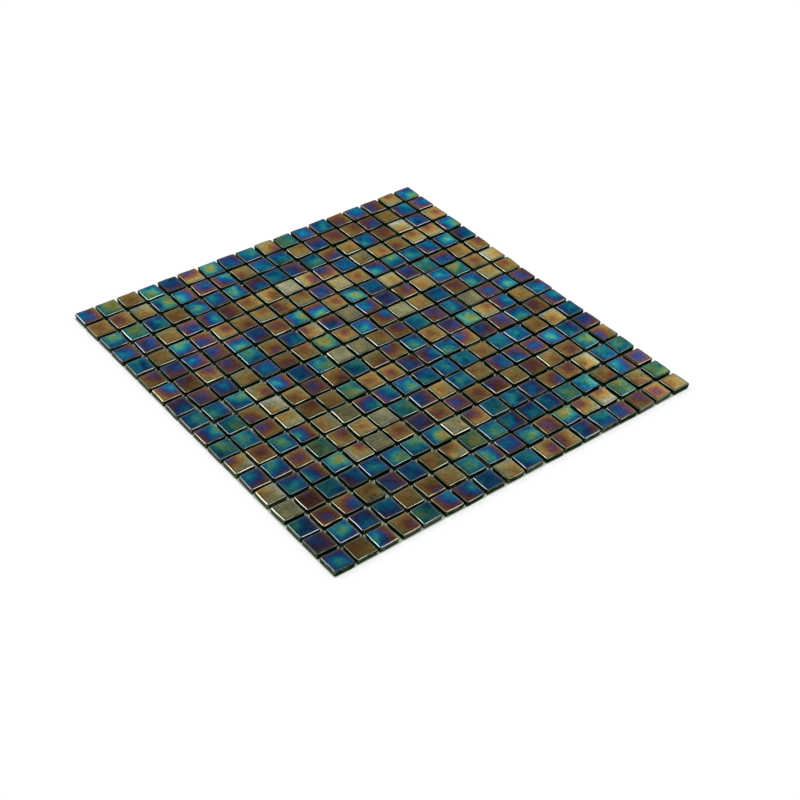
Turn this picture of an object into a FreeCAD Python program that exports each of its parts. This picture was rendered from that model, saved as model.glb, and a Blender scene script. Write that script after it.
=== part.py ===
import FreeCAD, Part
import os
import random
import Sketcher

# Sheet of pressed glass mosaic chips on a laid glass-fibre mesh.
# The sheet lies face up on a level floor. Its origin is at the middle of its
# underside, X runs along the columns, Y along the rows and Z up. Every chip is
# one pressing of dark glass: a square with cut corners in plan, widest just
# under its bevelled top edge and narrower at its base. The chips lie in a square
# grid with a joint all round, each a little out of place, and they are grouped
# by the colour of the metal-oxide film on their faces. Under them lie two layers
# of flat thread, the warp on the floor and the weft on the warp, and the chips
# are glued to the weft.

# Driving dimensions in millimetres, with twist in degrees and the rest as counts
SIZES = (
    ("columns", 18, "chips along X"),
    ("rows", 18, "chips along Y"),
    ("chip_width", 15.0, "side of a chip at its widest"),
    ("glass_thickness", 4.0, "height of a chip"),
    ("base_inset", 0.5, "how far a chip's base lies inside its widest line, each side"),
    ("corner_cut", 1.0, "leg of the cut corner in plan"),
    ("bevel_width", 0.7, "top edge bevel, across"),
    ("bevel_depth", 0.6, "top edge bevel, down"),
    ("joint", 1.4, "gap between two chips at their widest"),
    ("wander", 0.38, "furthest that a chip lies from its grid place, along X and along Y"),
    ("twist", 1.5, "furthest that a chip is turned from the grid"),
    ("thread_width", 1.0, "width of a flat mesh thread"),
    ("thread_height", 0.2, "height of a flat mesh thread"),
    ("mesh_opening", 9.0, "clear gap between two threads of a layer"),
    ("mesh_margin", 2.0, "least distance from the mesh to the edge of the sheet"),
)

# Chips in a hundred of each film colour
FILM_SHARES = {
    "blue": 23,
    "teal": 21,
    "gold": 18,
    "bronze": 12,
    "plum": 9,
    "indigo": 6,
    "green": 6,
    "khaki": 5,
}
LAYING_SEED = 18

PITCH = "(Sizes.chip_width + Sizes.joint)"
THREAD_PITCH = "(Sizes.thread_width + Sizes.mesh_opening)"
MESH_HEIGHT = "2 * Sizes.thread_height"


def side_of_sheet(count):
    """Expression for one side of the sheet, with count the alias of its chips."""
    return f"(Sizes.{count} * {PITCH} - Sizes.joint)"


def side_of_mesh(count):
    """Expression for the length of a thread that runs along that side."""
    return f"({side_of_sheet(count)} - 2 * Sizes.mesh_margin)"


def threads_across(count):
    """Expression for how many threads lie side by side across that side."""
    return f"(floor(({side_of_mesh(count)} - Sizes.thread_width) / {THREAD_PITCH}) + 1)"


def add_sizes(doc):
    """Spreadsheet with a name, a value and a note on each row."""
    sheet = doc.addObject("Spreadsheet::Sheet", "Sizes")
    for row, (alias, value, note) in enumerate(SIZES, start=1):
        sheet.set(f"A{row}", alias)
        sheet.set(f"B{row}", str(value))
        sheet.set(f"C{row}", note)
        sheet.setAlias(f"B{row}", alias)
    doc.recompute()
    return sheet


def origin_feature(body, role):
    """Origin plane or axis of a body."""
    return [item for item in body.Origin.OriginFeatures if item.Role == role][0]


def flat_sketch(body, name, height=None):
    """Empty sketch on the body's XY plane, or parallel to it at a height."""
    sketch = body.newObject("Sketcher::SketchObject", name)
    sketch.AttachmentSupport = [(origin_feature(body, "XY_Plane"), "")]
    sketch.MapMode = "FlatFace"
    if height:
        sketch.setExpression(".AttachmentOffset.Base.z", height)
    return sketch


def closed_outline(sketch, corners):
    """Straight edges through the corners in turn, joined end to end."""
    points = [FreeCAD.Vector(x, y, 0) for x, y in corners]
    for start, end in zip(points, points[1:] + points[:1]):
        sketch.addGeometry(Part.LineSegment(start, end), False)
    for edge in range(len(points)):
        following = (edge + 1) % len(points)
        sketch.addConstraint(Sketcher.Constraint("Coincident", edge, 2, following, 1))


def bound_distance(sketch, name, kind, first, second, expression):
    """Distance along X or Y between two points, tied to an expression."""
    distance = Sketcher.Constraint(kind, *first, *second, 1.0)
    index = sketch.addConstraint(distance)
    sketch.renameConstraint(index, name)
    sketch.setExpression(f"Constraints.{name}", expression)


def cut_square(body, name, height=None):
    """The chip's widest outline: a square about the origin with corners cut at 45 degrees."""
    sketch = flat_sketch(body, name, height)
    near, far = 3.0, 4.0
    corners = (
        (-near, -far), (near, -far), (far, -near), (far, near),
        (near, far), (-near, far), (-far, near), (-far, -near),
    )
    closed_outline(sketch, corners)
    front, front_right, right, back, left = 0, 1, 2, 4, 6
    sketch.addConstraint(Sketcher.Constraint("Horizontal", front))
    sketch.addConstraint(Sketcher.Constraint("Vertical", right))
    for edge, opposite in ((front, back), (right, left)):
        for end in (1, 2):
            sketch.addConstraint(Sketcher.Constraint("Symmetric", edge, end, opposite, end, -1, 1))
    width = "Sizes.chip_width"
    cut = "Sizes.corner_cut"
    bound_distance(sketch, "width", "DistanceX", (left, 1), (right, 1), width)
    bound_distance(sketch, "depth", "DistanceY", (front, 1), (back, 1), width)
    bound_distance(sketch, "right_cut_x", "DistanceX", (front_right, 1), (front_right, 2), cut)
    bound_distance(sketch, "right_cut_y", "DistanceY", (front_right, 1), (front_right, 2), cut)
    bound_distance(sketch, "left_cut_x", "DistanceX", (left, 2), (front, 1), cut)
    bound_distance(sketch, "left_cut_y", "DistanceY", (front, 1), (left, 2), cut)
    return sketch


def padded_outline(body, name, sketch, height):
    """Straight prism on an outline."""
    pad = body.newObject("PartDesign::Pad", name)
    pad.Profile = sketch
    pad.setExpression("Length", height)
    body.Document.recompute()
    return pad


def faces_between(shape, low, high):
    """Names of the faces that reach from one height exactly to another."""
    names = []
    for number, face in enumerate(shape.Faces, start=1):
        box = face.BoundBox
        if abs(box.ZMin - low) < 1e-6 and abs(box.ZMax - high) < 1e-6:
            names.append(f"Face{number}")
    return names


def drafted_sides(body, name, base, level, inset, height, downward):
    """Sides of a prism leaned inwards, by inset over height, away from a level plane."""
    low = base.Profile[0].Placement.Base.z
    sides = faces_between(base.Shape, low, low + base.Length.Value)
    draft = body.newObject("PartDesign::Draft", name)
    draft.Base = (base, sides)
    draft.NeutralPlane = (level, [""])
    draft.Reversed = downward
    draft.setExpression("Angle", f"atan(({inset}) / ({height}))")
    body.Document.recompute()
    if not draft.Shape.Volume < base.Shape.Volume:
        raise RuntimeError(f"{name} leans outwards")
    return draft


def make_chip(doc):
    """One pressing: a foot that narrows to the base, and a cap that narrows to the face."""
    body = doc.addObject("PartDesign::Body", "Chip")
    cap_height = "Sizes.bevel_depth"
    foot_height = "Sizes.glass_thickness - Sizes.bevel_depth"
    level = body.newObject("PartDesign::Plane", "WidestLevel")
    level.AttachmentSupport = [(origin_feature(body, "XY_Plane"), "")]
    level.MapMode = "FlatFace"
    level.setExpression(".AttachmentOffset.Base.z", foot_height)
    foot_outline = cut_square(body, "FootOutline")
    foot = padded_outline(body, "Foot", foot_outline, foot_height)
    drafted_sides(body, "FootDraft", foot, level, "Sizes.base_inset", foot_height, True)
    cap_outline = cut_square(body, "CapOutline", foot_height)
    cap = padded_outline(body, "Cap", cap_outline, cap_height)
    drafted_sides(body, "EdgeBevel", cap, level, "Sizes.bevel_width", cap_height, False)
    return body


def lay_chip(doc, chip, name, column, row, columns, rows, draw):
    """Link to the pressing at its grid place, moved and turned a little by hand."""
    link = doc.addObject("App::Link", name)
    link.LinkedObject = chip
    steps_x = column - (columns - 1) / 2
    steps_y = row - (rows - 1) / 2
    shift_x, shift_y, turn = (round(draw.uniform(-1, 1), 3) for _ in range(3))
    link.setExpression(".Placement.Base.x", f"{PITCH} * {steps_x} + Sizes.wander * {shift_x}")
    link.setExpression(".Placement.Base.y", f"{PITCH} * {steps_y} + Sizes.wander * {shift_y}")
    link.setExpression(".Placement.Base.z", MESH_HEIGHT)
    link.setExpression(".Placement.Rotation.Angle", f"Sizes.twist * {turn}")
    return link


def lay_chips(doc, sheet, chip):
    """All chips of the sheet, in one compound for each film colour."""
    draw = random.Random(LAYING_SEED)
    colours = list(FILM_SHARES)
    shares = list(FILM_SHARES.values())
    columns = int(sheet.columns)
    rows = int(sheet.rows)
    laid = {colour: [] for colour in colours}
    for row in range(rows):
        for column in range(columns):
            colour = draw.choices(colours, shares)[0]
            name = f"Chip_{row + 1}_{column + 1}"
            laid[colour].append(lay_chip(doc, chip, name, column, row, columns, rows, draw))
    families = []
    for colour in colours:
        if laid[colour]:
            family = doc.addObject("Part::Compound", f"chips_{colour}")
            family.Label = f"chips_{colour}"
            family.Links = laid[colour]
            families.append(family)
    return families


def make_threads(doc, label, side, across, runs_along_y, height=None):
    """One layer of parallel flat threads: a padded thread repeated across the sheet.

    side is the alias of the chips along a thread, across that of the chips across it.
    """
    body = doc.addObject("PartDesign::Body", label)
    body.Label = label
    body.AllowCompound = True
    sketch = flat_sketch(body, f"{label}_outline", height)
    closed_outline(sketch, ((-4, -3), (4, -3), (4, 3), (-4, 3)))
    front, right, back, left = range(4)
    for edge in (front, back):
        sketch.addConstraint(Sketcher.Constraint("Horizontal", edge))
    for edge in (right, left):
        sketch.addConstraint(Sketcher.Constraint("Vertical", edge))
    origin = (-1, 1)
    gaps = f"({threads_across(across)} - 1)"
    length = side_of_mesh(side)
    width = "Sizes.thread_width"
    near_end = f"{length} / 2"
    first_edge = f"{gaps} * {THREAD_PITCH} / 2 + Sizes.thread_width / 2"
    size_x, size_y = (width, length) if runs_along_y else (length, width)
    start_x, start_y = (first_edge, near_end) if runs_along_y else (near_end, first_edge)
    bound_distance(sketch, "size_x", "DistanceX", (front, 1), (front, 2), size_x)
    bound_distance(sketch, "size_y", "DistanceY", (right, 1), (right, 2), size_y)
    bound_distance(sketch, "start_x", "DistanceX", (front, 1), origin, start_x)
    bound_distance(sketch, "start_y", "DistanceY", (front, 1), origin, start_y)
    pad = body.newObject("PartDesign::Pad", f"{label}_thread")
    pad.Profile = sketch
    pad.setExpression("Length", "Sizes.thread_height")
    doc.recompute()
    pattern = body.newObject("PartDesign::LinearPattern", f"{label}_layer")
    pattern.Originals = [pad]
    axis = "X_Axis" if runs_along_y else "Y_Axis"
    pattern.Direction = (origin_feature(body, axis), [""])
    pattern.setExpression("Length", f"{gaps} * {THREAD_PITCH}")
    pattern.setExpression("Occurrences", threads_across(across))
    body.Tip = pattern
    doc.recompute()
    return body


def make_mesh(doc):
    """Warp threads along Y on the floor, weft threads along X on top of them."""
    warp = make_threads(doc, "mesh_warp", "rows", "columns", True)
    weft = make_threads(doc, "mesh_weft", "columns", "rows", False, "Sizes.thread_height")
    return [warp, weft]


def check_document(doc, parts):
    """Stop on a failed feature or a sub-part without a sound shape."""
    for item in doc.Objects:
        if "Invalid" in item.State or "Error" in item.State:
            raise RuntimeError(f"{item.Label} failed: {item.State}")
    for part in parts:
        if part.Shape.isNull() or not part.Shape.isValid():
            raise RuntimeError(f"{part.Label} has no sound shape")


def main():
    doc = FreeCAD.newDocument("mosaic_sheet")
    sheet = add_sizes(doc)
    chip = make_chip(doc)
    parts = lay_chips(doc, sheet, chip) + make_mesh(doc)
    doc.recompute()
    check_document(doc, parts)
    os.makedirs("parts", exist_ok=True)
    for part in parts:
        part.Shape.exportStep(f"parts/{part.Label}.step")
        box = part.Shape.BoundBox
        print(f"{part.Label}: {len(part.Shape.Solids)} solids, {part.Shape.Volume:.1f} mm3, "
              f"{box.XLength:.2f} x {box.YLength:.2f} x {box.ZLength:.2f} mm, base at {box.ZMin:.2f}")


main()
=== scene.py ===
import math
import bpy
import numpy as np
from mathutils import Matrix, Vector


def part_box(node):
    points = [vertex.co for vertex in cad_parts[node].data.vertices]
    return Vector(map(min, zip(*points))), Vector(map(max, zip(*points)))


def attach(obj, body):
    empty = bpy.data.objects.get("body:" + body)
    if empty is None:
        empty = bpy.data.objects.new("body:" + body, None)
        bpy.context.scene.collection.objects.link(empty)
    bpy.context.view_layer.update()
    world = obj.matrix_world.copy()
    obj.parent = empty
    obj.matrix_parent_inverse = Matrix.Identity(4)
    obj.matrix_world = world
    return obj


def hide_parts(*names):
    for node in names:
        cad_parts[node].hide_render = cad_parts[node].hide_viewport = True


# Sheet of pressed glass mosaic chips with an iridescent metal-oxide film, on a
# glass-fibre mesh. Everything is in metres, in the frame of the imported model.

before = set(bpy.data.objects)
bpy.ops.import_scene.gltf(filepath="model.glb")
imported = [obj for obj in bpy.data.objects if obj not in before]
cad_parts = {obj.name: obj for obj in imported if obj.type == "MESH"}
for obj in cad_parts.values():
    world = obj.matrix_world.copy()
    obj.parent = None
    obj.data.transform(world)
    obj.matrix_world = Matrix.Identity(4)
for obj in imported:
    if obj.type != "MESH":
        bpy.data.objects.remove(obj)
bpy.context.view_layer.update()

MM = 0.001

# The laid grid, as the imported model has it
CHIP_PITCH = 16.4 * MM
JOINT = 1.4 * MM
COLUMNS = 18
THREAD_PITCH = 10.0 * MM

# The visible mesh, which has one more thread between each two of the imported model
FINE_PITCH = THREAD_PITCH / 2

# One pressing, seen from above. The corner radius shrinks with the inset from the widest
# line, at one rate on the face's rounding and at another below it. The corner share is about
# the corner radius over half a chip, and places the outline's points on the waver's waves.
CORNER_RADIUS = 1.05 * MM
CORNER_SHARE = 0.15
CORNER_RADIUS_SPREAD = 0.25 * MM
SHARPEST_CORNER = 0.3 * MM
SHARPENING_ABOVE = 0.6
SHARPENING_BELOW = 1.5
SIDE_WAVER = 0.25 * MM
SIDE_WAVES = (2, 3, 5)
CORNER_STEPS = 3
SIDE_STEPS = 4

# One pressing, in section. Under the rounding lie an upright band, a short shoulder and the
# drafted wall.
FACE_SHARES = (0.22, 0.44, 0.66, 0.85, 1.0)
EDGE_ROUNDING = 0.80 * MM
ROUNDING_SPREAD = 0.28
EDGE_STEPS = 4
BAND_DEPTH = 0.55 * MM
BAND_RISE = 0.8
SHOULDER_DEPTH = 0.35 * MM
SHOULDER_INSET = 0.06 * MM
SHOULDER_RISE = 0.6
BASE_INSET = 0.5 * MM
BASE_ROUNDING = 0.18 * MM
INNER_BASE_SHARE = 0.5
SHARP_DEGREES = 40

# Where the rounding, the band, the shoulder and the wall end, on a scale down the side from
# 0 on the face to 1 on the base
ROUNDING_END = 0.35
BAND_END = 0.5
SHOULDER_END = 0.6
WALL_END = 0.97

# How uneven a face is. The first of its waves turns by the given angle, in radians, over
# half a chip.
CROWN_RANGE = (-0.03 * MM, 0.10 * MM)
FACE_WAVE = 0.014 * MM
FACE_WAVES = (1, 2, 3)
FACE_WAVE_TURN = 2.2
LEAN_DEGREES = 0.21

# How far the thickest place of the film may lie from a chip's middle, with 1 the edge, and
# the power that spreads the places between
FILM_OFF_CENTRE = 0.95
OFF_CENTRE_POWER = 0.8

# Chips draw their patterns from places up to this far apart in the noise
PATTERN_SPREAD = 50

# The sides that face out of the sheet get more of the overspray colour, as painted light for
# the brighter outer walls; the overspray itself differs at random from chip to chip. The values
# are how much of what is missing to full cover is added, for the sides towards +Y, -X, -Y and +X
OUTWARD_PAINTED_LIGHT = np.array([0.7, 0.95, 0.6, 0.7])

SEED = 40


def random_source(offset):
    """Seeded source of random numbers, its own for each use."""
    return np.random.default_rng(SEED + offset)


# Range of the thickest place of each colour family's film, on a scale from 0, a thin silvery
# first order, to 1, the second gold, where the colours end
FILM_FAMILIES = {
    "khaki": (0.09, 0.19),
    "gold": (0.30, 0.465),
    "bronze": (0.46, 0.54),
    "plum": (0.53, 0.60),
    "indigo": (0.61, 0.67),
    "blue": (0.69, 0.82),
    "teal": (0.815, 0.955),
    "green": (0.96, 1.06),
}

# Share of the thickness that each family's film loses towards the rim, and how far the
# mottling moves it up and down the scale
RIM_THINNING = {
    "khaki": 0.24, "gold": 0.43, "bronze": 0.38, "plum": 0.31,
    "indigo": 0.26, "blue": 0.22, "teal": 0.19, "green": 0.16,
}
MOTTLING = {
    "khaki": 0.22, "gold": 0.40, "bronze": 0.46, "plum": 0.42,
    "indigo": 0.38, "blue": 0.36, "teal": 0.36, "green": 0.32,
}

# Colour that the film returns at each thickness, as it looks under white light
FILM_COLOURS = (
    (0.00, (138, 136, 118)),
    (0.10, (124, 123, 92)),
    (0.20, (126, 112, 70)),
    (0.30, (127, 101, 55)),
    (0.38, (112, 80, 47)),
    (0.45, (95, 58, 50)),
    (0.51, (84, 55, 62)),
    (0.56, (70, 54, 82)),
    (0.61, (44, 54, 98)),
    (0.67, (26, 68, 110)),
    (0.74, (16, 86, 116)),
    (0.81, (34, 106, 113)),
    (0.88, (60, 117, 101)),
    (0.94, (84, 120, 82)),
    (1.00, (114, 112, 62)),
)


def linear(rgb):
    """Linear colour of a colour on the 0 to 255 display scale, by the sRGB curve."""
    share = np.array(rgb, float) / 255
    low = share / 12.92
    high = ((share + 0.055) / 1.055) ** 2.4
    return tuple(np.where(share <= 0.04045, low, high))


def read_chips(node):
    """Middle, turn, cell, base and top of every chip in a node.

    A chip's cell is its place in the grid. Its middle is the middle of its corners' box.
    Its turn comes from its corners as complex numbers about the middle: the sum of their
    fourth powers turns four times as fast as the chip, and is negative on a chip that isn't
    turned, so the turn is a quarter of the angle of that sum with its sign changed.
    """
    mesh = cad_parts[node].data
    corners = np.empty(len(mesh.vertices) * 3)
    mesh.vertices.foreach_get("co", corners)
    corners = np.unique(corners.reshape(-1, 3).round(7), axis=0)
    cell = np.floor(corners[:, :2] / CHIP_PITCH + COLUMNS / 2).astype(int)
    cells, owner = np.unique(cell, axis=0, return_inverse=True)
    owner = owner.ravel()
    low = np.full((len(cells), 3), np.inf)
    high = np.full((len(cells), 3), -np.inf)
    np.minimum.at(low, owner, corners)
    np.maximum.at(high, owner, corners)
    middle = (low + high) / 2
    arm = (corners[:, 0] - middle[owner, 0]) + 1j * (corners[:, 1] - middle[owner, 1])
    fourth = np.zeros(len(cells), complex)
    np.add.at(fourth, owner, arm ** 4)
    turn = np.angle(-fourth) / 4
    return middle[:, :2], turn, cells, low[:, 2], high[:, 2]


def outline_weights():
    """Weights of the points round a square with rounded corners, as complex numbers.

    A point of the outline is the corner centre's distance from the middle times the first
    weight, plus the corner's radius times the second. An arc's points keep the corner
    centre and turn by a quarter, a side's points move evenly from one corner centre to
    the next, and each further quarter is the first one turned by 90 degrees.
    """
    turn = np.linspace(0, math.pi / 2, CORNER_STEPS + 1)
    along = np.arange(1, SIDE_STEPS) / SIDE_STEPS
    centre = np.concatenate([np.full(len(turn), 1 + 1j), 1 - 2 * along + 1j])
    radial = np.concatenate([np.exp(1j * turn), np.full(len(along), 1j)])
    quarter = 1j ** np.arange(4)
    return (quarter[:, None] * centre).ravel(), (quarter[:, None] * radial).ravel()


def side_values(values):
    """Values of a chip's four sides, carried to the points of its outline.

    A side's points take its value, and round each corner it goes over evenly into the next.
    """
    before = np.roll(values, 1, axis=-1)[..., None]
    after = values[..., None]
    turn = np.concatenate([np.linspace(0, 1, CORNER_STEPS + 1), np.ones(SIDE_STEPS - 1)])
    return (before * (1 - turn) + after * turn).reshape(*values.shape[:-1], -1)


def pressing_section(height):
    """Section of a pressing from the face to the base, as six values for each ring.

    The values are the share of the flat face that the ring spans, its inset from the
    widest line, its depth under the face, how much it rises with the face, how far it lies
    down the side, from 0 on the face to 1 at the base, and whether its inset and depth
    grow with the chip's own rounding. The face's rings share the inset of the rounding,
    the rounding is a quarter circle, below it come an upright band and a shoulder, and a
    straight draft leads to the small rounding round the base.
    """
    arc = np.linspace(0, math.pi / 2, EDGE_STEPS + 1)[1:]
    band = EDGE_ROUNDING + BAND_DEPTH
    rings = [(share, EDGE_ROUNDING, 0.0, 1.0, 0.0, 1.0) for share in FACE_SHARES]
    for angle in arc:
        inset = EDGE_ROUNDING * (1 - math.sin(angle))
        depth = EDGE_ROUNDING * (1 - math.cos(angle))
        rings.append((1.0, inset, depth, 1.0, ROUNDING_END * angle / arc[-1], 1.0))
    rings.append((1.0, 0.0, band, BAND_RISE, BAND_END, 0.0))
    rings.append((1.0, SHOULDER_INSET, band + SHOULDER_DEPTH, SHOULDER_RISE, SHOULDER_END, 0.0))
    rings.append((1.0, BASE_INSET - BASE_ROUNDING, height - BASE_ROUNDING, 0.0, WALL_END, 0.0))
    rings.append((1.0, BASE_INSET, height, 0.0, 1.0, 0.0))
    rings.append((INNER_BASE_SHARE, BASE_INSET, height, 0.0, 1.0, 0.0))
    return np.array(rings).T


def pressed_chips(node, source):
    """Closed surfaces of all chips of one node, with what each point knows of its film.

    Each chip is a stack of rings about its middle: the rings follow the section from the
    face to the base, and each ring is a square with rounded corners. The outline moves in
    and out by cosines of a few times the bearing. The face rises to its middle as one less
    the square of the distance, is made uneven by sines of the distance in a few directions,
    and leans a little. Then the chip is turned and moved to its place on the mesh.
    """
    middle, turn, cells, base, top = read_chips(node)
    count = len(middle)
    height = float((top - base)[0])
    share, inset, depth, rise, fall, grows = pressing_section(height)
    own = 1 + grows * ROUNDING_SPREAD * source.uniform(-1, 1, (count, 1))
    inset = (inset * own)[:, :, None]
    depth = (depth * own)[:, :, None]
    corner_centre, corner_arm = outline_weights()
    half = (CHIP_PITCH - JOINT) / 2 - source.uniform(0, SIDE_WAVER, count)[:, None, None]
    radius = CORNER_RADIUS + CORNER_RADIUS_SPREAD * source.uniform(-1, 1, count)[:, None, None]
    ring_half = half - inset
    sharper = np.where(grows > 0, SHARPENING_ABOVE, SHARPENING_BELOW)[None, :, None]
    ring_radius = np.maximum(radius - sharper * inset, SHARPEST_CORNER)
    outline = (ring_half - ring_radius) * corner_centre + ring_radius * corner_arm

    around = np.angle(corner_centre + CORNER_SHARE * corner_arm)
    waver = np.zeros((count, 1, len(around)))
    for waves in SIDE_WAVES:
        phase = source.uniform(0, 2 * math.pi, count)[:, None, None]
        waver += np.cos(waves * around + phase) / waves
    outline = outline * (1 + waver * SIDE_WAVER / half) * share[None, :, None]

    crown = source.uniform(*CROWN_RANGE, count)[:, None, None]
    spread = np.maximum(np.abs(outline.real), np.abs(outline.imag)) / (half - EDGE_ROUNDING)
    lift = crown * (1 - np.minimum(spread, 1.0) ** 2)
    for waves in FACE_WAVES:
        direction = np.exp(1j * source.uniform(0, 2 * math.pi, count))[:, None, None]
        phase = source.uniform(0, 2 * math.pi, count)[:, None, None]
        distance = (outline * direction).real / half
        lift += FACE_WAVE / waves * np.sin(waves * FACE_WAVE_TURN * distance + phase)
    lean = math.radians(LEAN_DEGREES) * source.normal(0, 1, (2, count))[:, :, None, None]
    lift += lean[0] * outline.real + lean[1] * outline.imag
    # Settled by about its highest rise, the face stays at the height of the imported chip
    settle = crown.clip(min=0) + FACE_WAVE + np.abs(lean).sum(axis=0) * half / 2
    level = height - depth + rise[None, :, None] * (lift - settle)

    flat = outline * np.exp(1j * turn)[:, None, None]
    rings = np.stack([
        middle[:, 0, None, None] + flat.real,
        middle[:, 1, None, None] + flat.imag,
        base[:, None, None] + level,
    ], axis=-1)
    face_middle = rings[:, :1].mean(axis=2, keepdims=True)
    base_middle = rings[:, -1:].mean(axis=2, keepdims=True)

    unit = outline / half
    down = np.broadcast_to(fall[None, :, None], unit.shape)
    place = np.stack([unit.real, unit.imag, down], axis=-1)
    face_place = np.zeros((count, 1, 1, 3))
    base_place = np.zeros((count, 1, 1, 3))
    base_place[..., 2] = 1.0
    brightness, overspray_and_outer_light, sprayed_down = source.uniform(0, 1, (3, count, 4))
    column, row = cells.T
    last_cell = COLUMNS - 1
    outward = np.stack([row == last_cell, column == 0, row == 0, column == last_cell], axis=-1)
    # Painted light: the sheet's outer sides get more of the overspray colour
    overspray_and_outer_light = overspray_and_outer_light + outward * OUTWARD_PAINTED_LIGHT * (1 - overspray_and_outer_light)
    sides = side_values(np.stack([brightness, overspray_and_outer_light, sprayed_down]))
    edge = np.broadcast_to(np.moveaxis(sides, 0, -1)[:, None], unit.shape + (3,))
    even_edge = np.full((count, 1, 1, 3), 0.5)
    character = np.stack([
        source.uniform(0, 1, count),
        source.uniform(0, 1, count),
        source.uniform(0, PATTERN_SPREAD, count),
    ], axis=-1)
    away = source.uniform(0.0, 1.0, count) ** OFF_CENTRE_POWER * FILM_OFF_CENTRE
    bearing = source.uniform(0, 2 * math.pi, count)
    centre = np.stack([away * np.cos(bearing), away * np.sin(bearing), np.zeros(count)], axis=-1)

    def per_chip(middle_value, ring_values, last_value):
        """One row of values for each point of a chip: face middle, rings, base middle."""
        parts = (middle_value, ring_values, last_value)
        return np.concatenate([part.reshape(count, -1, 3) for part in parts], axis=1)

    points = per_chip(face_middle, rings, base_middle)
    places = per_chip(face_place, place, base_place)
    edges = per_chip(even_edge, edge, even_edge)
    repeat = points.shape[1]
    values = {
        "place": places.reshape(-1, 3),
        "edge": edges.reshape(-1, 3),
        "character": np.repeat(character, repeat, axis=0),
        "film_centre": np.repeat(centre, repeat, axis=0),
    }
    return points, ring_faces(count, rings.shape[1], rings.shape[2]), values


def ring_faces(count, rings, around):
    """Faces of closed stacks of rings: fans at both ends and four-cornered faces between.

    A stack's points are the first end, then the rings in turn, then the last end.
    """
    here = np.arange(around)
    after = (here + 1) % around
    start = 1 + around * np.arange(rings)[:, None]
    upper, lower = start[:-1], start[1:]
    corners = [upper + here, lower + here, lower + after, upper + after]
    sides = np.stack(corners, axis=-1).reshape(-1, 4)
    first = np.stack([0 * here, start[0] + here, start[0] + after], axis=-1)
    end = 1 + around * rings
    last = np.stack([0 * here + end, start[-1] + after, start[-1] + here], axis=-1)
    shift = (end + 1) * np.arange(count)[:, None, None]
    faces = []
    for group in (sides, first, last):
        faces += (group[None] + shift).reshape(-1, group.shape[1]).tolist()
    return faces


def add_mesh(name, points, faces, values=None, sharp_degrees=None):
    """Smooth mesh object from arrays, with any values that its points carry."""
    mesh = bpy.data.meshes.new(name)
    mesh.from_pydata(np.asarray(points).reshape(-1, 3).tolist(), [], faces)
    mesh.shade_smooth()
    if sharp_degrees:
        mesh.set_sharp_from_angle(angle=math.radians(sharp_degrees))
    for label, rows in (values or {}).items():
        attribute = mesh.attributes.new(label, "FLOAT_VECTOR", "POINT")
        attribute.data.foreach_set("vector", rows.astype(np.float32).ravel())
    piece = bpy.data.objects.new(name, mesh)
    bpy.context.scene.collection.objects.link(piece)
    return piece


def node_adder(tree):
    """Function that adds a node to a tree, sets its properties and links or fills its inputs."""
    def add(kind, inputs=None, **settings):
        node = tree.nodes.new(kind)
        for name, value in settings.items():
            setattr(node, name, value)
        for key, value in (inputs or {}).items():
            if isinstance(value, bpy.types.NodeSocket):
                tree.links.new(value, node.inputs[key])
            else:
                node.inputs[key].default_value = value
        return node
    return add


def math_node(add, operation, first, second=0.0, third=0.0, clamp=False):
    """Result of one math operation."""
    values = {0: first, 1: second, 2: third}
    return add("ShaderNodeMath", values, operation=operation, use_clamp=clamp).outputs[0]


def more(add, base, value, factor):
    """The base and the value times the factor, added up."""
    return math_node(add, "MULTIPLY_ADD", value, factor, base)


def between(add, share, low, high):
    """Even rise from the low value where the share is 0 to the high one where it is 1."""
    return math_node(add, "MULTIPLY_ADD", share, high - low, low)


def ease(add, value, low, high):
    """Smooth rise from 0 at the low value to 1 at the high one."""
    inputs = {"Value": value, "From Min": low, "From Max": high}
    return add("ShaderNodeMapRange", inputs, interpolation_type="SMOOTHSTEP").outputs[0]


def group_tree(name, inputs, outputs):
    """Empty shader group with named sockets, its adder and its input and output nodes."""
    tree = bpy.data.node_groups.new(name, "ShaderNodeTree")
    for in_out, sockets in (("INPUT", inputs), ("OUTPUT", outputs)):
        for label, kind in sockets:
            tree.interface.new_socket(label, in_out=in_out, socket_type=kind)
    add = node_adder(tree)
    return tree, add, add("NodeGroupInput").outputs, add("NodeGroupOutput").inputs


# Three patterns of noise, slow, cloudy and quick, each with its scale per metre, its detail
# and its distortion
SLOW_NOISE = (90.0, 0.5, 0.6)
CLOUD_NOISE = (280.0, 1.5, 1.0)
QUICK_NOISE = (620.0, 2.5, 0.8)
NOISE_ROUGHNESS = 0.55

# Thickness of the film: it falls with the sum of the cubes of the two distances from its
# centre, taken to a power, and by a part of the family's rim thinning that differs from chip
# to chip. The mottling follows the slow noise and a little of the quick one.
FALL_POWER = 0.45
RIM_THINNING_PART = (0.55, 1.45)
QUICK_MOTTLING = 0.08

# How brightly the film shines, from the dullest chip to the brightest, and by how much the
# three noises move that
CHIP_SHINE = (0.55, 1.29)
SLOW_HAZE = 1.5
CLOUD_HAZE = 0.9
QUICK_HAZE = 0.9

# The film pales towards the rim: where that starts and ends, as a share of half a chip, how
# much the cloudy noise moves it, and the share of pale colour at its start and end
PALE_REACH = (0.58, 1.04)
PALE_WANDER = 0.3
PALE_SHARE = (0.02, 0.60)

# The rim line: where it sets in on the way down the side, how much of the film's colour it
# keeps, and how bright it is on the dullest side and on the brightest
RIM_START = (0.02, 0.06)
RIM_FILM = 0.6
RIM_BRIGHTNESS = (0.12, 1.97)

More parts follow.
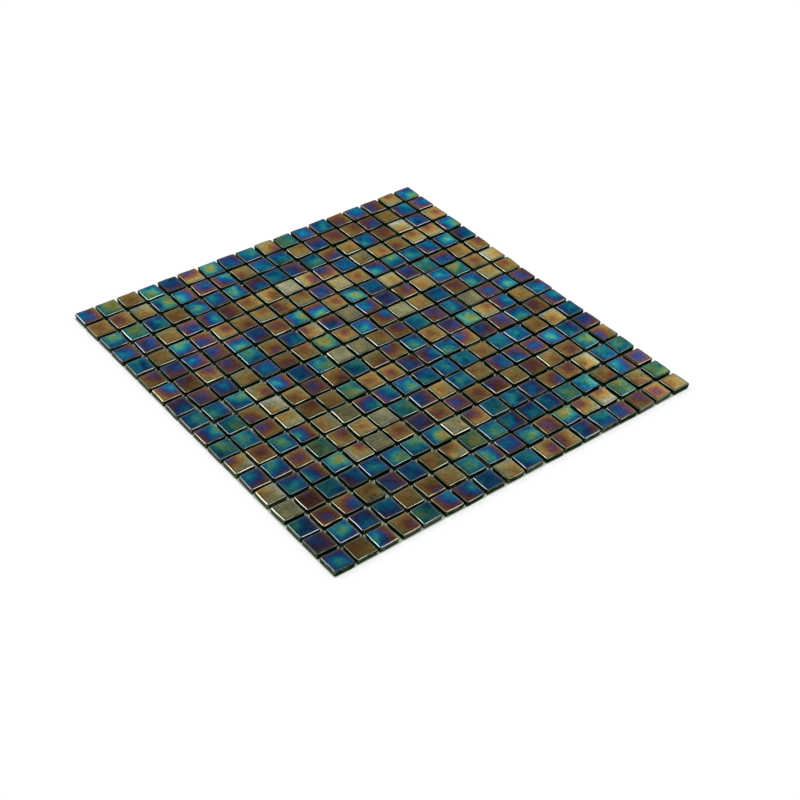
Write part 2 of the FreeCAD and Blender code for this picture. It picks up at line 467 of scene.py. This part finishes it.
# The walls: where the run-down film ends and how much side and noise move that, how the
# patches of overspray come and stop, and how painted shade darkens the wall at its foot
BARE_START = (0.06, 0.13)
RUN_DOWN = 0.07
RUN_WANDER = 0.3
SPRAY_WANDER = 0.9
SPRAY_EDGES = (0.60, 1.08)
SPRAY_STRENGTH = 0.85
SPRAY_END = (0.94, 0.99)
PAINTED_FOOT_SHADE_START = (0.86, 0.96)
PAINTED_FOOT_SHADE = 0.65

# Roughness of the film, what the quick noise and the overspray add to it, and the relief
POLISH = 0.13
QUICK_ROUGHNESS = 0.12
SPRAY_ROUGHNESS = 0.25
QUICK_RELIEF = 0.7
RELIEF_DEPTH = 0.05 * MM


def oxide_film_group():
    """Shader group of the iridescent film and the dark glass that it leaves bare.

    The film is thickest at its centre on each chip and thins towards the rim. Mottling moves
    its thickness up and down, and the colour follows it. Towards the rim the film pales, the
    rim line is silvery, and the walls below are bare glass with patches of overspray. The
    patches grow on the sheet's outer walls as painted light, and painted shade darkens every
    wall at its foot.
    """
    number = "NodeSocketFloat"
    colour = "NodeSocketColor"
    tree, add, given, result = group_tree(
        "oxide_film",
        [
            ("Thinnest", number), ("Thickest", number), ("Rim thinning", number), ("Mottling", number),
            ("Thin film", colour), ("Silver rim", colour), ("Overspray", colour), ("Bare glass", colour),
        ],
        [("Colour", colour), ("Roughness", number), ("Height", number)],
    )
    spot = add("ShaderNodeTexCoord").outputs["Object"]
    place = add("ShaderNodeAttribute", attribute_name="place").outputs["Vector"]
    character = add("ShaderNodeAttribute", attribute_name="character").outputs["Vector"]
    centre = add("ShaderNodeAttribute", attribute_name="film_centre").outputs["Vector"]
    share, thinning, seed = add("ShaderNodeSeparateXYZ", {0: character}).outputs
    fall = add("ShaderNodeSeparateXYZ", {0: place}).outputs[2]
    edge = add("ShaderNodeAttribute", attribute_name="edge").outputs["Vector"]
    brightness, overspray_and_outer_light, sprayed_down = add("ShaderNodeSeparateXYZ", {0: edge}).outputs

    away = add("ShaderNodeVectorMath", {0: place, 1: centre}, operation="SUBTRACT").outputs[0]
    away = add("ShaderNodeVectorMath", {0: away}, operation="ABSOLUTE").outputs[0]
    across, along, _ = add("ShaderNodeSeparateXYZ", {0: away}).outputs
    across_cubed = math_node(add, "POWER", across, 3.0)
    along_cubed = math_node(add, "POWER", along, 3.0)
    distance = math_node(add, "POWER", math_node(add, "ADD", across_cubed, along_cubed), FALL_POWER)

    def noise(scale, detail, distortion):
        """Noise about zero that differs from chip to chip."""
        inputs = {
            "Vector": spot, "W": seed, "Scale": scale, "Detail": detail,
            "Roughness": NOISE_ROUGHNESS, "Distortion": distortion,
        }
        value = add("ShaderNodeTexNoise", inputs, noise_dimensions="4D").outputs["Fac"]
        return math_node(add, "SUBTRACT", value, 0.5)

    slow = noise(*SLOW_NOISE)
    cloud = noise(*CLOUD_NOISE)
    quick = noise(*QUICK_NOISE)
    span = math_node(add, "SUBTRACT", given["Thickest"], given["Thinnest"])
    thickest = more(add, given["Thinnest"], share, span)
    rim = math_node(add, "MULTIPLY", between(add, thinning, *RIM_THINNING_PART), given["Rim thinning"])
    left = more(add, 1.0, math_node(add, "MULTIPLY", rim, distance), -1.0)
    thickness = math_node(add, "MULTIPLY", thickest, left)
    uneven = more(add, slow, quick, QUICK_MOTTLING)
    thickness = math_node(add, "MULTIPLY_ADD", uneven, given["Mottling"], thickness, clamp=True)
    ramp = add("ShaderNodeValToRGB", {0: thickness})
    stops = ramp.color_ramp.elements
    for (position, rgb), stop in zip(FILM_COLOURS, (stops[0], stops[1])):
        stop.position = position
        stop.color = (*linear(rgb), 1.0)
    for position, rgb in FILM_COLOURS[2:]:
        stops.new(position).color = (*linear(rgb), 1.0)

    def blend(factor, first, second):
        """First colour where the factor is 0, second where it is 1."""
        mix = add("ShaderNodeMix", {"Factor": factor}, data_type="RGBA")
        tree.links.new(first, mix.inputs["A"])
        tree.links.new(second, mix.inputs["B"])
        return mix.outputs["Result"]

    def scaled(value, factor):
        """Colour times a number."""
        return add("ShaderNodeVectorMath", {0: value, "Scale": factor}, operation="SCALE").outputs[0]

    haze = more(add, 1.0, slow, SLOW_HAZE)
    haze = more(add, haze, cloud, CLOUD_HAZE)
    haze = more(add, haze, quick, QUICK_HAZE)
    shine = math_node(add, "MULTIPLY", haze, between(add, thinning, *CHIP_SHINE))
    film = scaled(ramp.outputs["Color"], shine)
    rim_film = scaled(film, RIM_FILM)

    from_middle = add("ShaderNodeVectorMath", {0: place}, operation="ABSOLUTE").outputs[0]
    reach_x, reach_y, _ = add("ShaderNodeSeparateXYZ", {0: from_middle}).outputs
    reach = math_node(add, "MAXIMUM", reach_x, reach_y)
    pale = ease(add, more(add, reach, cloud, PALE_WANDER), *PALE_REACH)
    film = blend(between(add, pale, *PALE_SHARE), film, given["Thin film"])

    silver = add("ShaderNodeVectorMath", {0: rim_film, 1: given["Silver rim"]}).outputs[0]
    silver = scaled(silver, between(add, brightness, *RIM_BRIGHTNESS))
    film = blend(ease(add, fall, *RIM_START), film, silver)

    # The overspray share carries real overspray and, on the sheet's outer walls, painted light
    patches = ease(add, more(add, overspray_and_outer_light, cloud, SPRAY_WANDER), *SPRAY_EDGES)
    sprayed = between(add, ease(add, fall, *SPRAY_END), SPRAY_STRENGTH, 0.0)
    patches = math_node(add, "MULTIPLY", patches, sprayed)
    wall = blend(patches, given["Bare glass"], given["Overspray"])
    # Painted shade: the wall darkens towards its foot
    wall = scaled(wall, between(add, ease(add, fall, *PAINTED_FOOT_SHADE_START), 1.0, PAINTED_FOOT_SHADE))
    end = more(add, more(add, fall, slow, RUN_WANDER), sprayed_down, -RUN_DOWN)
    bare = ease(add, end, *BARE_START)
    tree.links.new(blend(bare, film, wall), result["Colour"])
    rough = more(add, POLISH, quick, QUICK_ROUGHNESS)
    rough = more(add, rough, math_node(add, "MULTIPLY", bare, patches), SPRAY_ROUGHNESS)
    tree.links.new(rough, result["Roughness"])
    tree.links.new(more(add, cloud, quick, QUICK_RELIEF), result["Height"])
    return tree


# Share of light that each finish mirrors: bare dark glass, a little greener than it is red,
# the film where it thins out, the silvery rim line and the overspray. The tint is what every
# finish tends to at a grazing angle.
BARE_GLASS = (0.012, 0.025, 0.013, 1.0)
THIN_FILM = (0.070, 0.081, 0.070, 1.0)
SILVER_RIM = (0.102, 0.109, 0.100, 1.0)
OVERSPRAY = (0.124, 0.132, 0.094, 1.0)
GRAZING_TINT = (0.40, 0.44, 0.41, 1.0)


def film_material(film_group, family):
    """Dark glass under a film of one colour family."""
    material = bpy.data.materials.new(f"oxide_film_{family}")
    material.use_nodes = True
    tree = material.node_tree
    add = node_adder(tree)
    shader = tree.nodes["Principled BSDF"]
    thinnest, thickest = FILM_FAMILIES[family]
    inputs = {
        "Thinnest": thinnest,
        "Thickest": thickest,
        "Rim thinning": RIM_THINNING[family],
        "Mottling": MOTTLING[family],
        "Thin film": THIN_FILM,
        "Silver rim": SILVER_RIM,
        "Overspray": OVERSPRAY,
        "Bare glass": BARE_GLASS,
    }
    film = add("ShaderNodeGroup", inputs, node_tree=film_group)
    relief = {"Height": film.outputs["Height"], "Strength": 1.0, "Distance": RELIEF_DEPTH}
    bump = add("ShaderNodeBump", relief)
    tree.links.new(film.outputs["Colour"], shader.inputs["Base Color"])
    tree.links.new(film.outputs["Roughness"], shader.inputs["Roughness"])
    tree.links.new(bump.outputs["Normal"], shader.inputs["Normal"])
    shader.inputs["Metallic"].default_value = 1.0
    shader.inputs["Specular Tint"].default_value = GRAZING_TINT
    return material


# Finish of the mesh threads: scale per metre and detail of its grain, its two colours and
# where they lie on the noise
THREAD_GRAIN = (900.0, 3.0)
THREAD_COLOURS = ((0.3, (196, 199, 190)), (0.7, (226, 228, 219)))
THREAD_ROUGHNESS = 0.45
THREAD_RELIEF = 0.6
THREAD_RELIEF_DEPTH = 0.08 * MM


def thread_material():
    """White glass-fibre thread with clear size, unevenly white and slightly rough."""
    material = bpy.data.materials.new("glass_fibre_thread")
    material.use_nodes = True
    tree = material.node_tree
    add = node_adder(tree)
    shader = tree.nodes["Principled BSDF"]
    spot = add("ShaderNodeTexCoord").outputs["Object"]
    scale, detail = THREAD_GRAIN
    grain = {"Vector": spot, "Scale": scale, "Detail": detail}
    noise = add("ShaderNodeTexNoise", grain).outputs["Fac"]
    ramp = add("ShaderNodeValToRGB", {0: noise})
    for stop, (position, rgb) in zip(ramp.color_ramp.elements, THREAD_COLOURS):
        stop.position = position
        stop.color = (*linear(rgb), 1.0)
    relief = {"Height": noise, "Strength": THREAD_RELIEF, "Distance": THREAD_RELIEF_DEPTH}
    bump = add("ShaderNodeBump", relief)
    tree.links.new(ramp.outputs["Color"], shader.inputs["Base Color"])
    tree.links.new(bump.outputs["Normal"], shader.inputs["Normal"])
    shader.inputs["Roughness"].default_value = THREAD_ROUGHNESS
    return material


def yarn_tubes(paths, wide, high, around):
    """Closed tubes of oval section along paths that all have the same number of points.

    The section is a circle stretched to the two radii: its wide axis lies level and square
    to the path, its high axis upright. Every path point carries one ring of the section,
    and the ends are closed by fans.
    """
    step = np.gradient(paths, axis=1)
    side = np.stack([-step[..., 1], step[..., 0], np.zeros(step.shape[:2])], axis=-1)
    side /= np.linalg.norm(side, axis=-1, keepdims=True)
    angle = 2 * math.pi * np.arange(around) / around
    up = np.array([0.0, 0.0, 1.0])
    rings = (
        paths[:, :, None, :]
        - wide * np.cos(angle)[:, None] * side[:, :, None, :]
        + high * np.sin(angle)[:, None] * up
    )
    count = len(paths)
    points = np.concatenate([paths[:, :1], rings.reshape(count, -1, 3), paths[:, -1:]], axis=1)
    return points, ring_faces(count, paths.shape[1], around)


def mesh_lines(node, axis):
    """Places of a layer's threads across the sheet, their span along it and its heights.

    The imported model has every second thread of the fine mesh, so one more thread is laid
    half way between each two of them.
    """
    low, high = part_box(node)
    across = 1 - axis
    count = 2 * round((high[across] - low[across]) / THREAD_PITCH) + 1
    first = (low[across] + high[across]) / 2 - (count - 1) / 2 * FINE_PITCH
    places = first + np.arange(count) * FINE_PITCH
    return places, (low[axis], high[axis]), (low[2], high[2])


# Threads of the visible mesh, with the rings of each on one pitch and the sides of a ring
THREAD_STEPS = 3
YARN_RADIUS = 0.11 * MM
YARN_SWING = 0.34 * MM
YARN_SIDES = 5
TAPE_HALF_WIDTH = 0.50 * MM
TAPE_HALF_HEIGHT = 0.085 * MM
TAPE_SWING = 0.04 * MM
TAPE_SIDES = 8


def warp_yarns():
    """Pairs of yarns along Y, of which one passes over each weft tape and one under it.

    Each yarn swings to and fro and rises and falls as one cosine along its length, and the
    other of the pair does the opposite, so the two cross half way between the tapes. Where
    threads cross they sink a little into each other, as glued ones do.
    """
    places, span, heights = mesh_lines("mesh_warp", 1)
    weft, _, weft_heights = mesh_lines("mesh_weft", 0)
    steps = THREAD_STEPS * (len(weft) + 1) + 1
    along = np.linspace(span[0], span[1], steps)
    phase = math.pi * (along - weft[0]) / FINE_PITCH
    middle = (heights[0] + weft_heights[1]) / 2
    rise = middle - heights[0] - YARN_RADIUS
    paths = []
    for sign in (1, -1):
        x = places[:, None] + sign * YARN_SWING * np.cos(phase)
        z = middle + sign * rise * np.cos(phase)
        paths.append(np.stack(np.broadcast_arrays(x, along, z), axis=-1))
    return yarn_tubes(np.concatenate(paths), YARN_RADIUS, YARN_RADIUS, YARN_SIDES)


def weft_tapes():
    """Flat tapes along X between the upper and the lower yarn of each warp pair.

    A tape rises and falls slightly as a cosine along its length, from one pair to the next.
    """
    places, span, heights = mesh_lines("mesh_weft", 0)
    warp, _, warp_heights = mesh_lines("mesh_warp", 1)
    steps = THREAD_STEPS * (len(warp) + 1) + 1
    along = np.linspace(span[0], span[1], steps)
    phase = math.pi * (along - warp[0]) / FINE_PITCH
    middle = (warp_heights[0] + heights[1]) / 2
    z = middle + TAPE_SWING * np.cos(phase)
    paths = np.stack(np.broadcast_arrays(along, places[:, None], z), axis=-1)
    return yarn_tubes(paths, TAPE_HALF_WIDTH, TAPE_HALF_HEIGHT, TAPE_SIDES)


film_group = oxide_film_group()
for number, family in enumerate(FILM_FAMILIES):
    node = f"chips_{family}"
    points, faces, values = pressed_chips(node, random_source(number))
    chips = add_mesh(f"pressed_glass_{family}", points, faces, values, SHARP_DEGREES)
    chips.data.materials.append(film_material(film_group, family))
    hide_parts(node)
    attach(chips, "root")

thread_finish = thread_material()
for name, node, make in (
    ("warp_yarns", "mesh_warp", warp_yarns),
    ("weft_tapes", "mesh_weft", weft_tapes),
):
    threads = add_mesh(name, *make())
    threads.data.materials.append(thread_finish)
    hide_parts(node)
    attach(threads, "root")


# The floor is a square sheet of matt colour, and the camera and mirrors see it lifted towards
# white. In the open the lift is strong. Under the sheet it is weak and the colour is a darker
# and greener painted shade, for the ground in the sheet's shade seen through the joints. The
# border is half as wide as the soft line between the two.
FLOOR_SIDE = 12.0
SHEET_HALF = (COLUMNS * CHIP_PITCH - JOINT) / 2
FLOOR_BORDER = 0.5 * MM
OPEN_FLOOR = (0.95, 0.95, 0.95, 1.0)
PAINTED_SHADE_FLOOR = (0.52, 0.64, 0.47, 1.0)
OPEN_LIFT = 0.70
COVERED_LIFT = 0.04


def white_floor():
    """Level white floor that the camera sees as white and that keeps the sheet's shadow."""
    half = FLOOR_SIDE / 2
    mesh = bpy.data.meshes.new("white_floor")
    corners = [(-half, -half, 0), (half, -half, 0), (half, half, 0), (-half, half, 0)]
    mesh.from_pydata(corners, [], [(0, 1, 2, 3)])
    floor = bpy.data.objects.new("white_floor", mesh)
    bpy.context.scene.collection.objects.link(floor)
    material = bpy.data.materials.new("white_floor")
    material.use_nodes = True
    tree = material.node_tree
    add = node_adder(tree)
    tree.nodes.remove(tree.nodes["Principled BSDF"])
    path = add("ShaderNodeLightPath").outputs
    seen = math_node(add, "MAXIMUM", path["Is Camera Ray"], path["Is Glossy Ray"])
    seen = math_node(add, "MAXIMUM", seen, path["Is Transmission Ray"])
    spot = add("ShaderNodeTexCoord").outputs["Object"]
    spot = add("ShaderNodeVectorMath", {0: spot}, operation="ABSOLUTE").outputs[0]
    across, along, _ = add("ShaderNodeSeparateXYZ", {0: spot}).outputs
    reach = math_node(add, "MAXIMUM", across, along)
    clear = ease(add, reach, SHEET_HALF - FLOOR_BORDER, SHEET_HALF + FLOOR_BORDER)
    share = math_node(add, "MULTIPLY", seen, between(add, clear, COVERED_LIFT, OPEN_LIFT))
    # Painted shade: the floor's colour under the sheet is darker and greener
    shade = add("ShaderNodeMix", {"Factor": clear}, data_type="RGBA")
    shade.inputs["A"].default_value = PAINTED_SHADE_FLOOR
    shade.inputs["B"].default_value = OPEN_FLOOR
    diffuse = add("ShaderNodeBsdfDiffuse", {"Color": shade.outputs["Result"]}).outputs[0]
    glow = add("ShaderNodeEmission", {"Color": (1.0, 1.0, 1.0, 1.0), "Strength": 1.0}).outputs[0]
    both = add("ShaderNodeMixShader", {0: share, 1: diffuse, 2: glow}).outputs[0]
    tree.links.new(both, tree.nodes["Material Output"].inputs["Surface"])
    mesh.materials.append(material)


# Brightness of the surround for mirroring surfaces, by the sine of the height above the
# horizon: a plain wall, a brightly lit band above it, a dimmer ceiling and white overhead.
# A colour ramp holds each as a share of a value that is above them all.
SURROUND = (
    (0.0, 0.72), (0.25, 0.95), (0.35, 0.72), (0.50, 2.05), (0.62, 1.12), (0.73, 0.56), (0.84, 0.46),
    (1.0, 1.0),
)
RAMP_WHITE = 2.1

# A small softbox that only mirroring surfaces show, by its bearing from +X, its height and
# where its brightness starts and stops to fall, all in degrees
SOFTBOX_BEARING = 30.5
SOFTBOX_HEIGHT = 37.5
SOFTBOX_EDGES = (2.5, 7.0)
SOFTBOX_BRIGHTNESS = 1.3

# Brightness of the surround for matt surfaces
MATT_LIGHT = 0.58

# The soft lamps, each with its bearing from +X, its height and its spread in degrees, and
# its brightness
SOFT_SUNS = {
    "left_light": (118, 48, 36, 4.3),
    "right_light": (-30, 56, 36, 2.8),
}


def studio_world():
    """White surround, which glossy surfaces mirror with its bands and the softbox.

    The camera sees it plain white, and matt surfaces get an even and weaker light from it.
    """
    world = bpy.data.worlds.new("studio")
    bpy.context.scene.world = world
    world.use_nodes = True
    tree = world.node_tree
    add = node_adder(tree)
    path = add("ShaderNodeLightPath").outputs
    direction = add("ShaderNodeTexCoord").outputs["Generated"]
    height = add("ShaderNodeSeparateXYZ", {0: direction}).outputs[2]
    ramp = add("ShaderNodeValToRGB", {0: height})
    stops = ramp.color_ramp.elements
    while len(stops) < len(SURROUND):
        stops.new(1.0)
    for stop, (position, brightness) in zip(stops, SURROUND):
        stop.position = position
        level = brightness / RAMP_WHITE
        stop.color = (level, level, level, 1.0)
    mirrored = math_node(add, "MULTIPLY", ramp.outputs["Color"], RAMP_WHITE)
    bearing = math.radians(SOFTBOX_BEARING)
    rise = math.radians(SOFTBOX_HEIGHT)
    softbox = (math.cos(rise) * math.cos(bearing), math.cos(rise) * math.sin(bearing), math.sin(rise))
    towards = {0: direction, 1: softbox}
    nearness = add("ShaderNodeVectorMath", towards, operation="DOT_PRODUCT").outputs["Value"]
    inner, outer = (math.cos(math.radians(degrees)) for degrees in SOFTBOX_EDGES)
    mirrored = more(add, mirrored, ease(add, nearness, outer, inner), SOFTBOX_BRIGHTNESS)
    seen = math_node(add, "MAXIMUM", path["Is Camera Ray"], path["Is Transmission Ray"])
    matt = math_node(add, "SUBTRACT", 1.0, math_node(add, "MAXIMUM", seen, path["Is Glossy Ray"]))
    strength = more(add, seen, matt, MATT_LIGHT)
    strength = more(add, strength, path["Is Glossy Ray"], mirrored)
    background = tree.nodes["Background"]
    background.inputs["Color"].default_value = (1.0, 1.0, 1.0, 1.0)
    tree.links.new(strength, background.inputs["Strength"])


def soft_sun(name, azimuth, elevation, spread, brightness):
    """Very wide sun lamp from a bearing counted from +X and a height, all in degrees.

    The brightness is what a mirror shows of it, with 1 white. That needs a strength of pi
    times the brightness times the square of the sine of half the spread.
    """
    lamp = bpy.data.lights.new(name, "SUN")
    lamp.angle = math.radians(spread)
    lamp.energy = math.pi * brightness * math.sin(math.radians(spread / 2)) ** 2
    sun = bpy.data.objects.new(name, lamp)
    sun.rotation_euler = (0.0, math.radians(90 - elevation), math.radians(azimuth))
    bpy.context.scene.collection.objects.link(sun)


# The camera was found from the sheet's corners in the photograph. Its angles are in degrees
# and its lens and sensor in millimetres.
CAMERA_PLACE = (-0.5002, -0.5797, 0.6003)
CAMERA_AZIMUTH = -40.05
CAMERA_ELEVATION = 39.99
CAMERA_ROLL = 3.39
LENS = 65.16
SENSOR_WIDTH = 36.0
SHIFT_X = 0.0505


def photo_camera():
    """Camera at the photograph's angle: turned to its azimuth, tipped down, then rolled."""
    data = bpy.data.cameras.new("photo_camera")
    data.lens = LENS
    data.sensor_width = SENSOR_WIDTH
    data.shift_x = SHIFT_X
    camera = bpy.data.objects.new("photo_camera", data)
    turn = Matrix.Rotation(math.radians(CAMERA_AZIMUTH), 4, "Z")
    tip = Matrix.Rotation(math.radians(90 - CAMERA_ELEVATION), 4, "X")
    roll = Matrix.Rotation(math.radians(CAMERA_ROLL), 4, "Z")
    camera.matrix_world = Matrix.Translation(CAMERA_PLACE) @ turn @ tip @ roll
    bpy.context.scene.collection.objects.link(camera)
    bpy.context.scene.camera = camera


white_floor()
studio_world()
for name, (azimuth, elevation, spread, brightness) in SOFT_SUNS.items():
    soft_sun(name, azimuth, elevation, spread, brightness)
photo_camera()
bpy.context.scene.view_settings.view_transform = "Standard"

bpy.context.view_layer.update()
